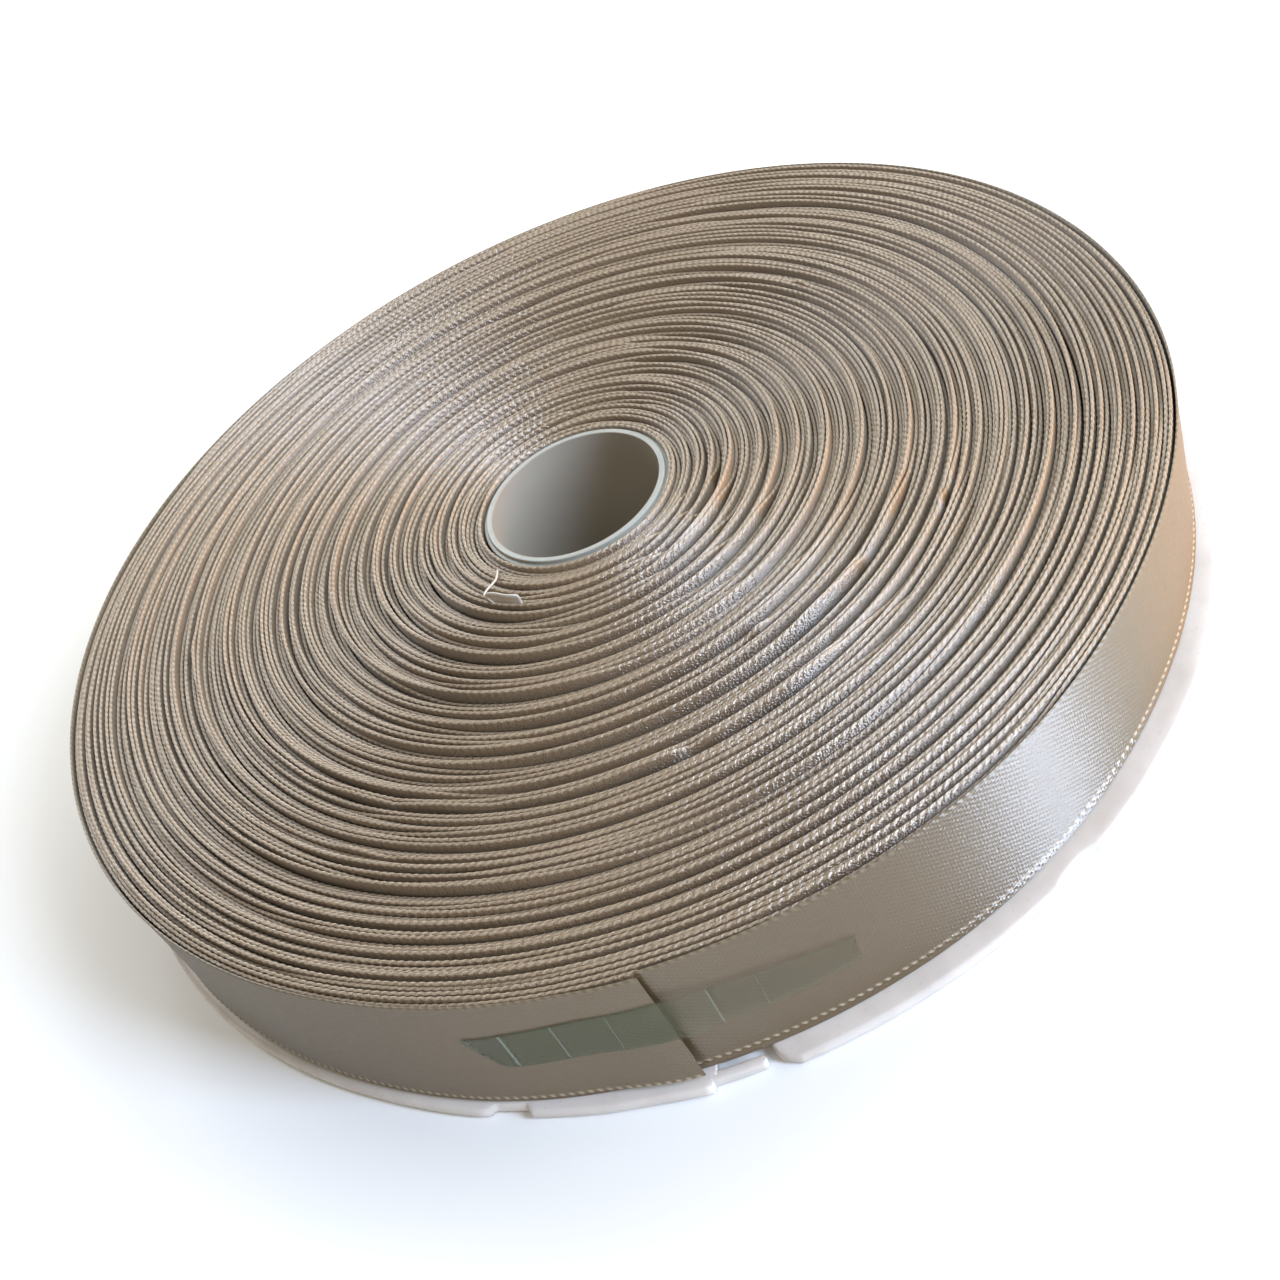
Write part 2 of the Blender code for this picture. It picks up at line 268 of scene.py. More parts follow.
def crest_radius(turn_index, azimuth):
    """Radius of one raised turn at each azimuth."""
    row = RAISED_TURNS[turn_index]
    stops = [0.0, FRONT - LEFT, RIGHT - LEFT, 360.0]
    place = np.interp((azimuth - LEFT) % 360.0, stops, np.arange(4.0))
    radius = soft_steps(place, [row.left, row.front, row.right, row.left])
    behind = np.sin(np.radians(azimuth)).clip(0.0, 1.0)
    wave = np.sin(np.radians(3.0 * azimuth) + wander_phase[turn_index])
    return radius + BACK_WANDER * behind * wave


print(len(RAISED_TURNS), "raised turns")

# %% [markdown]
# ## Crimped stretches
# A few raised turns are not only high but crimped: the selvedge was pinched and
# bows out between the pinches. Each row is one bow, with its ring's radius in
# front, its azimuth, its half width in degrees, and how far it rises.

# %% Table of crimps and the height of any turn
Crimp = namedtuple("Crimp", "ring azimuth width rise")
CRIMPS = [Crimp(*row) for row in (
    (59.5, 294.5, 7.0, 1.0), (59.5, 314.5, 4.5, 1.0), (59.5, 304.8, 1.6, -0.7),
    (59.5, 323.0, 2.0, -0.5), (67.1, 206.0, 3.5, 0.6), (67.1, 212.5, 1.8, -0.5),
    (67.1, 221.5, 3.5, 0.7), (67.1, 228.5, 1.5, -0.5), (67.1, 235.5, 4.0, 0.6),
    (67.1, 243.0, 2.0, -0.3), (67.1, 262.0, 6.0, 0.5), (67.1, 268.5, 1.6, -0.6),
    (67.1, 283.5, 5.0, 0.6), (67.1, 291.0, 1.6, -0.6), (67.1, 316.5, 1.0, 0.8),
    (67.1, 319.5, 1.0, -0.6), (75.7, 226.0, 2.5, 0.6), (75.7, 231.0, 1.5, -0.4),
    (54.4, 286.0, 2.0, 0.7), (73.6, 173.0, 3.0, 0.6), (73.6, 181.0, 2.0, -0.5),
    (73.6, 188.0, 3.0, 0.5), (61.8, 25.0, 1.2, 1.0), (61.8, 17.0, 3.0, 0.5),
)]
TURN_PITCH = 0.645
FALL_START = 0.45
FALL_LENGTH = 0.3
CREST_HALF = 0.4
CLIMB_SHARE = 0.62
CRIMP_REACH = 0.4
OUTERMOST = 98.8
OUTERMOST_RISE = 0.7


def lift(radius, azimuth):
    """Height of a turn's top edge above the lowest turns."""
    crests = np.array([crest_radius(k, azimuth) for k in range(len(RAISED_TURNS))])
    rises = np.array([row.rise for row in RAISED_TURNS] + [OUTERMOST_RISE])
    crests = np.vstack([crests, np.full_like(crests[:1], OUTERMOST)])
    below = (crests <= radius + TURN_PITCH / 2.0).sum(axis=0) - 1
    low = below.clip(0, len(crests) - 2)
    columns = np.arange(len(radius))
    inner, outer = crests[low, columns], crests[low + 1, columns]
    fall = 1.0 - ease((radius - inner - TURN_PITCH * FALL_START) / FALL_LENGTH)
    climb_length = CLIMB_SHARE * np.maximum(outer - inner, TURN_PITCH)
    climb = ease((radius - outer + climb_length) / (climb_length - TURN_PITCH * CREST_HALF))
    height = np.maximum(rises[low] * fall, rises[low + 1] * climb)
    for crimp in CRIMPS:
        ring = int(np.argmin([abs(row.front - crimp.ring) for row in RAISED_TURNS]))
        near = np.exp(-((radius - crests[ring]) / CRIMP_REACH) ** 2)
        away = (azimuth - crimp.azimuth + 180.0) % 360.0 - 180.0
        height = height + crimp.rise * near * np.exp(-(away / crimp.width) ** 2)
    return height


# %% [markdown]
# ## The path of the strip
# The whole ribbon is one spiral. Counting turns inwards from the cut end, each
# turn lies one pitch further in. The outer face isn't quite round: a short table
# gives its radius, and inner turns forget those dents after a dozen turns. Small
# seeded drifts in height and radius keep any two turns from being alike.

# %% Spiral
CUT_AZIMUTH = 258.3
INNER_TURN_RADIUS = 17.6
BEAD_PITCH = 1.39
STATIONS_PER_BEAD = 2
FORGET_TURNS = 12.0
HEIGHT_DRIFT = 0.20
RADIUS_DRIFT = 0.085
LEAN_AZIMUTHS = [0.0, 180.0, 205.0, 240.0, 257.0, 275.0, 360.0]
LEAN_REACHES = [0.0, 0.0, 0.9, 0.9, 0.35, 0.0, 0.0]
LEAN_TURNS = 4.0
Corner = namedtuple("Corner", "azimuth radius")
OUTER_WRAP = [Corner(*row) for row in (
    (20.0, 99.2), (95.0, 98.2), (150.0, 98.6), (200.0, 98.4), (228.0, 98.3),
    (252.0, 98.9), (285.0, 99.3), (312.0, 98.6), (345.0, 99.2), (380.0, 99.2),
)]
TURNS = (OUTERMOST - INNER_TURN_RADIUS) / TURN_PITCH


def table_radius(table, azimuth):
    """Radius at an azimuth from a table of rows that runs once round the axis."""
    first = table[0].azimuth
    turned = (azimuth - first) % 360.0 + first
    place = np.interp(turned, [row.azimuth for row in table], np.arange(float(len(table))))
    return soft_steps(place, [row.radius for row in table])


def wrap_radius(azimuth):
    """Radius of the outer wrap's outer face."""
    return table_radius(OUTER_WRAP, azimuth)


def foot_lean(azimuth):
    """How far the lower edge stands out on the left, where the roll was set down."""
    return np.interp(azimuth % 360.0, LEAN_AZIMUTHS, LEAN_REACHES)


def drift(turns_in, knots_per_turn, size, seed):
    """Smooth seeded drift along the strip."""
    knots = np.random.default_rng(seed).normal(0.0, size, int(TURNS * knots_per_turn) + 4)
    return soft_steps(turns_in * knots_per_turn, knots)


def strip_radius(turns_in, azimuth):
    """Outer radius of the strip, turns_in turns inwards from the cut end."""
    dent = (wrap_radius(azimuth) - OUTERMOST) * np.exp(-turns_in / FORGET_TURNS)
    return OUTERMOST + dent - TURN_PITCH * turns_in


fine_turns = np.linspace(0.0, TURNS, int(TURNS * 720))
fine_azimuth = CUT_AZIMUTH - 360.0 * fine_turns
fine_radius = strip_radius(fine_turns, fine_azimuth)
steps = np.hypot(np.diff(fine_radius), np.radians(np.diff(fine_azimuth)) * fine_radius[1:])
fine_length = np.concatenate([[0.0], np.cumsum(steps)])
print("ribbon", round(fine_length[-1] / 1000.0, 2), "m in", round(TURNS, 1), "turns")

# %% [markdown]
# ## The wound turns
# Each station of the strip is a thin upright section with a rounded bead on top:
# the selvedge, where the weft turns back round the edge threads. The bead swells
# and narrows every 1.39 mm, which gives the edge its row of pearls, and its inner
# side is set off along the ribbon, so it reads as a twisted cord. The strip is cut
# into four pieces, so that none holds too many faces.

# %% Wound turns
STRIP_THICKNESS = 0.34
BEAD_HALF_WIDE = 0.29
BEAD_HALF_NARROW = 0.185
BEAD_DEPTH = 0.32
BEAD_SWELL = 0.10
BEAD_TWIST = 0.7
PACK_PIECES = 4
OUTER_TURNS = 1.0


def pearl_swell(length):
    """From 0 between two pearls to 1 on a pearl, at lengths along the ribbon."""
    return 0.5 + 0.5 * np.cos(2.0 * math.pi * length / BEAD_PITCH)


def wound_section(length_in):
    """Section points and UVs at each length from the cut end."""
    turns_in = np.interp(length_in, fine_length, fine_turns)
    azimuth = CUT_AZIMUTH - 360.0 * turns_in
    outer = strip_radius(turns_in, azimuth)
    middle = outer - STRIP_THICKNESS / 2.0 + drift(turns_in, 6, RADIUS_DRIFT, 11)
    top = LOWEST_TOP + lift(outer, azimuth) + drift(turns_in, 8, HEIGHT_DRIFT, 5)
    pearl = pearl_swell(length_in)
    back = pearl_swell(length_in + BEAD_TWIST)
    half = BEAD_HALF_NARROW + (BEAD_HALF_WIDE - BEAD_HALF_NARROW) * pearl
    half_back = BEAD_HALF_NARROW + (BEAD_HALF_WIDE - BEAD_HALF_NARROW) * back
    crown = top + BEAD_SWELL * (pearl - 0.5)
    low = np.full_like(top, LOWEST_TOP - RIBBON_WIDTH)
    shoulder = top - BEAD_DEPTH
    thin = STRIP_THICKNESS / 2.0
    foot = middle + foot_lean(azimuth) * np.exp(-turns_in / LEAN_TURNS)
    corners = [
        (foot - thin, low, BEAD_TWIST),
        (foot + thin, low, 0.0),
        (middle + half, shoulder, 0.0),
        (middle, crown, BEAD_TWIST / 2.0),
        (middle - half_back, shoulder, BEAD_TWIST),
    ]
    points = np.stack([round_axis(r, azimuth, z) for r, z, _ in corners], 1)
    edge = top - RIBBON_WIDTH
    uv = [np.stack([length_in + twist, z - edge], -1) * MM for _, z, twist in corners]
    return points, np.stack(uv, 1), turns_in


def build_wound_turns(material):
    """All turns under the outer one, in pieces of equal length."""
    step = BEAD_PITCH / STATIONS_PER_BEAD
    first = np.interp(OUTER_TURNS, fine_turns, fine_length)
    stations = np.arange(math.ceil(first / step), math.floor(fine_length[-1] / step)) * step
    bounds = np.linspace(0, len(stations) - 1, PACK_PIECES + 1).astype(int)
    for k in range(PACK_PIECES):
        part = stations[bounds[k]:bounds[k + 1] + 1]
        points, uv, laps = wound_section(part)
        mesh = skin(f"wound_turns_{k + 1}", points, sharp_columns=(0, 1, 2, 4), uv=uv, laps=laps)
        add_piece(f"wound_turns_{k + 1}", mesh, material, "ribbon", "ribbon_roll")


# %% [markdown]
# ## The outer turn and the loose end
# The last turn shows its whole face, so it gets its own finer section: a bead on
# both selvedges, a face that bellies a little, and shallow dents. The last 60
# degrees are the loose end. It lifts off the roll towards the cut, most at its
# lower corner, and it was cut a little askew. The turn beneath shows only as a low
# brown edge under the lifted outer one, so that edge is a ring of its own.

# %% Outer turn and loose end
END_ROOT = 197.0
CUT_SLANT = 0.6
FLARE_LENGTH = 9.0
FLARE_TOP = 0.5
FLARE_BOTTOM = 1.5
OUTER_LIFT = 1.0
OUTER_LOW = FLANGE_TOP + OUTER_LIFT
FACE_STEP = BEAD_PITCH / 4.0
FACE_ROWS = [0.0, 0.25, 0.55, 1.1, 3.0, 6.0, 9.0, 12.0, 15.0, 18.0, 21.0, 22.9, 23.45, 23.75, 24.0]
FACE_THICKNESS = 0.24
BACK_ROWS = [23.75, 23.0, 12.0, 1.0, 0.25]
Dent = namedtuple("Dent", "depth waves slant phase")
DENTS = [Dent(0.05, 5.0, 9.0, 0.0), Dent(0.035, 11.0, -5.0, 1.0)]
DENT_EDGE = 4.0
UNDER_LOW = 0.1
UNDER_REACH = -0.05
UNDER_PEARL = 0.03
UNDER_PATTERN = 6.0
TOP_BEAD = 0.07
LOW_BEAD = 0.22
BEAD_LINE = 0.28
BEAD_SPREAD = 0.2
BAKE_LAPS = 4.0


def outer_face(azimuth, height, flared):
    """Radius of the outer face at an azimuth and a height above its lower edge."""
    dent = sum(row.depth * np.sin(np.radians(azimuth * row.waves) + height / row.slant + row.phase)
               for row in DENTS)
    fade = np.minimum(height, RIBBON_WIDTH - height).clip(0.0, DENT_EDGE) / DENT_EDGE
    reach = FLARE_BOTTOM + (FLARE_TOP - FLARE_BOTTOM) * height / RIBBON_WIDTH
    off = reach * ease(1.0 - (CUT_AZIMUTH - azimuth) / FLARE_LENGTH) if flared else 0.0
    lean = foot_lean(azimuth) * (1.0 - height / RIBBON_WIDTH) ** 2
    return wrap_radius(azimuth) + dent * fade + lean + off


def face_sections(azimuths, flared):
    """Closed sections of the outer ribbon, its outer side then its inner side."""
    azimuths = np.asarray(azimuths)
    length = np.radians(azimuths) * OUTERMOST
    pearl = pearl_swell(length)
    rows = [(h, 0.0) for h in FACE_ROWS]
    rows += [(h, FACE_THICKNESS) for h in BACK_ROWS]
    points, uv = [], []
    for height, inset in rows:
        edge = min(height, RIBBON_WIDTH - height)
        bead = LOW_BEAD if height < RIBBON_WIDTH / 2.0 else TOP_BEAD
        bead = bead * math.exp(-((edge - BEAD_LINE) / BEAD_SPREAD) ** 2)
        side = -1.0 if inset else 1.0
        round_in = FACE_THICKNESS / 2.0 if edge == 0.0 else 0.0
        slant = CUT_SLANT * (0.5 - height / RIBBON_WIDTH) if flared else 0.0
        share = (azimuths - azimuths.min()) / np.ptp(azimuths)
        placed = azimuths + slant * share
        near_cut = ease(1.0 - (CUT_AZIMUTH - placed)) if flared else 0.0
        radius = outer_face(placed, height, flared) - (inset + round_in) * (1.0 - 0.5 * near_cut)
        radius = radius + side * bead * (0.35 + 0.65 * pearl)
        points.append(round_axis(radius, placed, OUTER_LOW + height))
        uv.append(np.stack([length * MM, np.full_like(length, height * MM)], -1))
    return np.stack(points, 1), np.stack(uv, 1)


def arc_azimuths(start, end, step):
    """Azimuths from start to end at an arc step on the outer face."""
    count = math.ceil(math.radians(end - start) * OUTERMOST / step)
    return np.linspace(start, end, count + 1)


def build_under_turn(satin):
    """Lower selvedge of the turn beneath, which shows below the lifted outer one."""
    azimuth = np.arange(0.0, 360.0, 0.25)
    length = np.radians(azimuth) * OUTERMOST
    pearl = pearl_swell(length)
    face = wrap_radius(azimuth) + foot_lean(azimuth) + UNDER_REACH
    profile = [(-0.9, UNDER_LOW), (-0.1, UNDER_LOW), (0.0, UNDER_LOW + 0.3),
               (-0.1, UNDER_LOW + 0.6), (-0.25, OUTER_LIFT + 0.3), (-0.9, OUTER_LIFT + 0.3)]
    points, uv = [], []
    for inset, height in profile:
        swell = UNDER_PEARL * pearl if inset == 0.0 else 0.0
        points.append(round_axis(face + inset + swell, azimuth, FLANGE_TOP + height))
        uv.append(np.stack([length * MM, np.full_like(length, (UNDER_PATTERN + height) * MM)], -1))
    laps = np.linspace(0.0, BAKE_LAPS, len(azimuth) + 1)
    mesh = skin("under_turn_edge", np.stack(points, 1), closed=True, uv=np.stack(uv, 1), laps=laps)
    add_piece("under_turn_edge", mesh, satin, "ribbon", "ribbon_roll")


def build_outer_turn(satin):
    """Outer turn from the cut round to the loose end's root, then the loose end."""
    start = CUT_AZIMUTH - 360.0
    points, uv = face_sections(arc_azimuths(start - 0.4, END_ROOT, FACE_STEP), False)
    run = np.linspace(1.0, 0.0, len(points))[:, None, None]
    points = points * (1.0 - run * TURN_PITCH * 0.7 / OUTERMOST * np.array([1, 1, 0]))
    mesh = skin("outer_turn", points, uv=uv, laps=np.linspace(0.0, BAKE_LAPS, len(points)))
    add_piece("outer_turn", mesh, satin, "ribbon", "ribbon_roll")
    azimuths = arc_azimuths(END_ROOT, CUT_AZIMUTH, FACE_STEP)
    points, uv = face_sections(azimuths, True)
    mesh = skin("loose_end", points, uv=uv, laps=np.linspace(0.0, 1.0, len(points)))
    end = add_piece("loose_end", mesh, satin, "ribbon", "ribbon_end")
    build_under_turn(satin)
    length = math.radians(CUT_AZIMUTH - END_ROOT) * OUTERMOST
    return length


# %% [markdown]
# ## Satin
# Satin hides its weft: long warp floats run along the ribbon and act like brushed
# metal, so a highlight stays narrow along the ribbon and spreads across it. A
# Principled shader does that with anisotropy along the strip's own UV, and an IOR
# above that of solid polyester stands in for the many bright faces of its filaments.
# The weft still shows as fine lines across, 0.37 mm apart on the real cloth and
# drawn at 0.50 mm, so that they survive a pixel of 0.15 mm. For the same reason the
# floats are drawn at 1.5 by 0.36 mm, where real ones are nearer 0.9 by 0.15 mm.

# %% Satin material
WEFT_PITCH = 0.50 * MM
SLUB_LENGTH = 6.0 * MM
GRAIN = 0.38 * MM
FLOAT_LENGTH = 1.5 * MM
FLOAT_WIDTH = 0.36 * MM
SATIN_STEP = 0.4
# Painted shade: the deep brown that the turns' cloth darkens to, down in the grooves between turns.
GROOVE_SHADE_COLOUR = "#33291F"
SHEEN_TINT = "#FFFAF1"
Satin = namedtuple("Satin", "dark light gap bead hem sink top_pearl ior level "
                   "roughness depth grain float frill rope")


def across_waves(tree, uv, pitch, slant, phase):
    """Sine of the length along the ribbon, slanted by the height on it."""
    scaled = add_node(tree, "VectorMath", {
        0: uv, 1: (2.0 * math.pi / pitch, slant / MM, 0.0)}, operation='DOT_PRODUCT')
    moved = add_node(tree, "Math", {0: scaled.outputs["Value"], 1: phase}, operation='ADD')
    return add_node(tree, "Math", {0: moved}, operation='SINE').outputs[0]


def warp_floats(tree, uv, height):
    """Rows of floats, each a hump along the ribbon and set off from the row below."""
    rows = add_node(tree, "Math", {0: height, 1: FLOAT_WIDTH}, operation='DIVIDE')
    row = add_node(tree, "Math", {0: rows}, operation='FLOOR')
    along = add_node(tree, "VectorMath", {
        0: uv, 1: (2.0 * math.pi / FLOAT_LENGTH, 0.0, 0.0)}, operation='DOT_PRODUCT')
    phase = add_node(tree, "Math", {
        0: row, 1: 2.0 * math.pi * SATIN_STEP, 2: along.outputs["Value"]},
        operation='MULTIPLY_ADD')
    return add_node(tree, "Math", {0: phase}, operation='SINE').outputs[0]


def selvedge_mask(tree, height, inside, outside):
    """Zero on the face, one beyond the given distances from the ribbon's edges."""
    middle = add_node(tree, "Math", {0: height, 1: RIBBON_WIDTH / 2.0 * MM}, operation='SUBTRACT')
    reach = add_node(tree, "Math", {0: middle}, operation='ABSOLUTE')
    return add_node(tree, "MapRange", {
        "Value": reach,
        "From Min": (RIBBON_WIDTH / 2.0 - inside) * MM,
        "From Max": (RIBBON_WIDTH / 2.0 - outside) * MM,
    }).outputs[0]


def make_satin(name, look):
    """Polyester satin: warp floats along U, weft lines across, beaded selvedges."""
    material, tree = new_material(name)
    uv = add_node(tree, "UVMap", uv_map="ribbon").outputs["UV"]
    height = add_node(tree, "SeparateXYZ", {"Vector": uv}).outputs["Y"]
    weft = across_waves(tree, uv, WEFT_PITCH, 0.5, 0.0)
    pearl = across_waves(tree, uv, BEAD_PITCH * MM, 2.4, math.pi / 2.0)
    bead = selvedge_mask(tree, height, look.hem, look.hem / 2.0)
    frill = selvedge_mask(tree, height, look.frill, 0.5)

    stretch = add_node(tree, "Mapping", {
        "Vector": uv, "Scale": (1.0 / WEFT_PITCH, 1.0 / SLUB_LENGTH, 1.0)})
    slub = add_node(tree, "TexNoise", {"Vector": stretch, "Scale": 0.7, "Detail": 2.0})
    grain = add_node(tree, "TexNoise", {"Vector": uv, "Scale": 1.0 / GRAIN, "Detail": 1.0})
    long_way = add_node(tree, "Mapping", {
        "Vector": uv, "Scale": (1.0 / FLOAT_LENGTH, 1.0 / FLOAT_WIDTH, 1.0)})
    floats = add_node(tree, "TexNoise", {
        "Vector": long_way, "Scale": 1.0, "Detail": 2.0}).outputs["Fac"]
    uneven = add_node(tree, "TexNoise", {"Vector": uv, "Scale": 330.0, "Detail": 1.0})
    cloth = add_node(tree, "Math", {0: weft, 1: 0.35, 2: slub}, operation='MULTIPLY_ADD')
    hump = add_node(tree, "Math", {0: warp_floats(tree, uv, height), 1: floats},
                    operation='MULTIPLY')
    cloth = add_node(tree, "Math", {0: hump, 1: look.float, 2: cloth}, operation='MULTIPLY_ADD')
    cloth = add_node(tree, "Math", {0: grain, 1: look.grain, 2: cloth}, operation='MULTIPLY_ADD')
    rope = add_node(tree, "Math", {0: pearl, 1: frill}, operation='MULTIPLY')
    rope = add_node(tree, "Math", {0: rope, 1: uneven}, operation='MULTIPLY')
    relief = add_node(tree, "Math", {0: rope, 1: look.rope, 2: cloth}, operation='MULTIPLY_ADD')
    bump = add_node(tree, "Bump", {"Height": relief, "Distance": look.depth, "Strength": 1.0})

    wide = add_node(tree, "TexNoise", {"Vector": uv, "Scale": 9.0, "Detail": 1.0})
    tone = add_node(tree, "Math", {0: weft, 1: 0.22, 2: wide}, operation='MULTIPLY_ADD')
    tone = add_node(tree, "Math", {0: floats, 1: 0.5, 2: tone}, operation='MULTIPLY_ADD')
    tone = add_node(tree, "Math", {0: tone, 1: 0.25}, operation='SUBTRACT')
    face = add_node(tree, "Mix", {
        0: tone, 6: linear(look.dark), 7: linear(look.light)}, data_type='RGBA')
    # Painted shade: further below the selvedges the cloth is mixed towards a deep brown, for the
    # shade down in the grooves.
    near_edge = selvedge_mask(tree, height, 2.8, 0.7)
    groove_shade_share = add_node(tree, "MapRange", {"Value": near_edge, "To Min": look.sink, "To Max": 0.0})
    face = add_node(tree, "Mix", {
        0: groove_shade_share, 6: face.outputs[2], 7: linear(GROOVE_SHADE_COLOUR)}, data_type='RGBA')
    share = add_node(tree, "MapRange", {"Value": pearl, "From Min": -1.0})
    upper = add_node(tree, "MapRange", {
        "Value": height, "From Min": 11.0 * MM, "From Max": 13.0 * MM,
        "To Min": 1.0, "To Max": look.top_pearl})
    share = add_node(tree, "Math", {0: share, 1: upper}, operation='MULTIPLY')
    # Painted shade: the pearls keep the selvedge thread's lighter colour, and the gaps between them
    # are painted darker.
    thread = add_node(tree, "Mix", {
        0: share, 6: linear(look.gap), 7: linear(look.bead)}, data_type='RGBA')
    mixed = add_node(tree, "Mix", {
        0: bead, 6: face.outputs[2], 7: thread.outputs[2]}, data_type='RGBA')
    streaky = add_node(tree, "MapRange", {
        "Value": floats, "From Min": 0.3, "From Max": 0.7,
        "To Min": look.roughness - 0.06, "To Max": look.roughness + 0.06})
    matt = add_node(tree, "Math", {0: bead, 1: 0.13, 2: streaky}, operation='MULTIPLY_ADD')
    tangent = add_node(tree, "Tangent", direction_type='UV_MAP', uv_map="ribbon")
    shader = add_node(tree, "BsdfPrincipled", {
        "Base Color": mixed.outputs[2],
        "Roughness": matt,
        "Anisotropic": 1.0,
        "Anisotropic Rotation": 0.25,
        "Tangent": tangent,
        "Normal": bump,
        "IOR": look.ior,
        "Specular IOR Level": look.level,
        "Specular Tint": linear(SHEEN_TINT),
    })
    show(tree, shader)
    return material


# Turns on edge: pearly, rather matt beads of weft loops, and between them cloth with painted shade,
# darker further down.
edge_satin = make_satin("polyester_satin_turns", Satin(
    "#67503B", "#7F674D", gap="#857057", bead="#A69179", hem=0.6, sink=0.75, top_pearl=1.0,
    ior=2.2, level=1.0, roughness=0.42, depth=0.012 * MM, grain=19.0, float=2.0,
    frill=1.6, rope=7.0))
# Outer face: smoother and deeper brown, it takes one long soft glare down the wall.
face_satin = make_satin("polyester_satin_face", Satin(
    "#4A3A22", "#5E4A2E", gap="#54442A", bead="#B8A78F", hem=0.8, sink=0.0, top_pearl=0.25,
    ior=1.85, level=1.0, roughness=0.42, depth=0.009 * MM, grain=5.0, float=4.0,
    frill=0.9, rope=5.0))
build_wound_turns(edge_satin)
end_length = build_outer_turn(face_satin)
print("loose end", round(end_length, 1), "mm long")

# %% [markdown]
# ## The flange
# The flange is a thin disc moulded of white polystyrene, with a soft round edge.
# Its rim has a lock notch, a plain notch and a shallow scallop. The rim is one
# outline of radii with the cuts taken out of it, and a profile with a half-round
# edge is swept along it, so every cut gets the same soft edge as in a mould.

# %% Flange
TUBE_RADIUS = 17.1
HOLE_RADIUS = TUBE_RADIUS + 0.3
EDGE_ROUND = 0.85
RIM = [Corner(*row) for row in (
    (150.0, 102.9), (195.0, 100.8), (228.0, 100.7), (243.0, 101.3), (252.0, 101.8),
    (262.0, 102.7), (290.0, 102.9), (310.0, 102.7), (334.0, 101.5), (380.0, 102.9),
)]
PLAIN_NOTCH = [Corner(*row) for row in (
    (239.0, 103.0), (240.4, 100.3), (243.4, 100.3), (243.7, 103.0),
)]
LOCK_NOTCH = [Corner(*row) for row in (
    (258.8, 103.0), (258.95, 101.3), (259.3, 101.3), (259.4, 98.4),
    (264.0, 98.4), (264.15, 100.2), (264.5, 101.3), (265.9, 103.0),
)]
SCALLOP_AZIMUTH = 291.7
SCALLOP_HALF = 2.4
SCALLOP_DEPTH = 0.9


def flange_outline():
    """Azimuths and radii round the rim, close together where it is cut."""
    plain = np.arange(0.0, 360.0, 1.0)
    cuts = [c.azimuth for c in PLAIN_NOTCH + LOCK_NOTCH]
    bite = SCALLOP_AZIMUTH + np.linspace(-SCALLOP_HALF, SCALLOP_HALF, 13)
    azimuth = np.unique(np.concatenate([plain, cuts, bite]))
    radius = table_radius(RIM, azimuth)
    for notch in (PLAIN_NOTCH, LOCK_NOTCH):
        cut = np.interp(azimuth, [c.azimuth for c in notch], [c.radius for c in notch],
                        left=999.0, right=999.0)
        radius = np.minimum(radius, cut)
    share = ((azimuth - SCALLOP_AZIMUTH) / SCALLOP_HALF).clip(-1.0, 1.0)
    return azimuth, radius - SCALLOP_DEPTH * (1.0 - share ** 2)


def edge_arc(thickness, steps=5):
    """Round edge of a sheet: distance in from the rim, and height."""
    middle = thickness / 2.0
    angles = np.linspace(-math.pi / 2.0, math.pi / 2.0, 2 * steps + 1)
    return [(EDGE_ROUND * (1.0 - math.cos(a)), middle * (1.0 + math.sin(a))) for a in angles]


def build_flange(material):
    """Thin disc with a round edge, swept round its outline."""
    azimuth, rim = flange_outline()
    profile = [(rim * 0.0 + HOLE_RADIUS, 0.0), (rim - 2.0, 0.0)]
    profile += [(rim - inset, z) for inset, z in edge_arc(FLANGE_TOP)]
    profile += [(rim - 2.0, FLANGE_TOP), (rim * 0.0 + HOLE_RADIUS, FLANGE_TOP)]
    points = np.stack([round_axis(r, azimuth, z) for r, z in profile], 1)
    mesh = skin("flange", points, closed=True, sharp_columns=(0, len(profile) - 1))
    add_piece("flange", mesh, material, "flange", "spool_flange")


# %% [markdown]
# ## The lock tongue
# A springy finger lies along the lock notch, and the ribbon's end is tucked under it
# when the roll is put away. It was moulded with the disc but moves on its own, so it
# is a bar of its own that follows the rim and ends in a rounded tip.

# %% Lock tongue
TONGUE_START, TONGUE_END = 258.7, 263.35
TONGUE_INNER, TONGUE_OUTER = 99.8, 101.35
TONGUE_STATIONS = 22


def build_tongue(material):
    """Springy tongue along the lock notch, with a rounded tip."""
    azimuth = np.linspace(TONGUE_START, TONGUE_END, TONGUE_STATIONS)
    middle = (TONGUE_INNER + TONGUE_OUTER) / 2.0
    left = np.radians(TONGUE_END - azimuth) * middle
    tip = np.sqrt(np.clip(1.0 - (1.0 - left / 0.6) ** 2, 0.0, 1.0))
    half = (TONGUE_OUTER - TONGUE_INNER) / 2.0 * np.where(left < 0.6, tip.clip(0.25, 1.0), 1.0)
    ring = np.linspace(0.0, 2.0 * math.pi, 17)[:-1]
    profile = [(middle - half * np.sign(math.cos(a)) * abs(math.cos(a)) ** 0.4,
                FLANGE_TOP / 2.0 * (1.0 + np.sign(math.sin(a)) * abs(math.sin(a)) ** 0.4))
               for a in ring]
    points = np.stack([round_axis(r, azimuth, z) for r, z in profile], 1)
    mesh = skin("flange_tongue", points)
    add_piece("flange_tongue", mesh, material, "flange", "spool_flange")


# %% [markdown]
# ## The tube
# The ribbon is wound on a short tube. Its rim shows as two rings: a raised inner
# lip, and a step that the missing upper flange would sit on. The step is narrow,
# since the innermost turn hides most of it. A turned profile with small round
# corners is enough.

# %% Tube
BORE_RADIUS = 15.5
STEP_RADIUS = 17.25
TUBE_TOP = highest_mm("core_tube")[2] - 0.5
LIP_RADIUS = 16.6
LIP_RISE = 0.7
STEP_DEPTH = 1.6
TUBE_SEGMENTS = 180


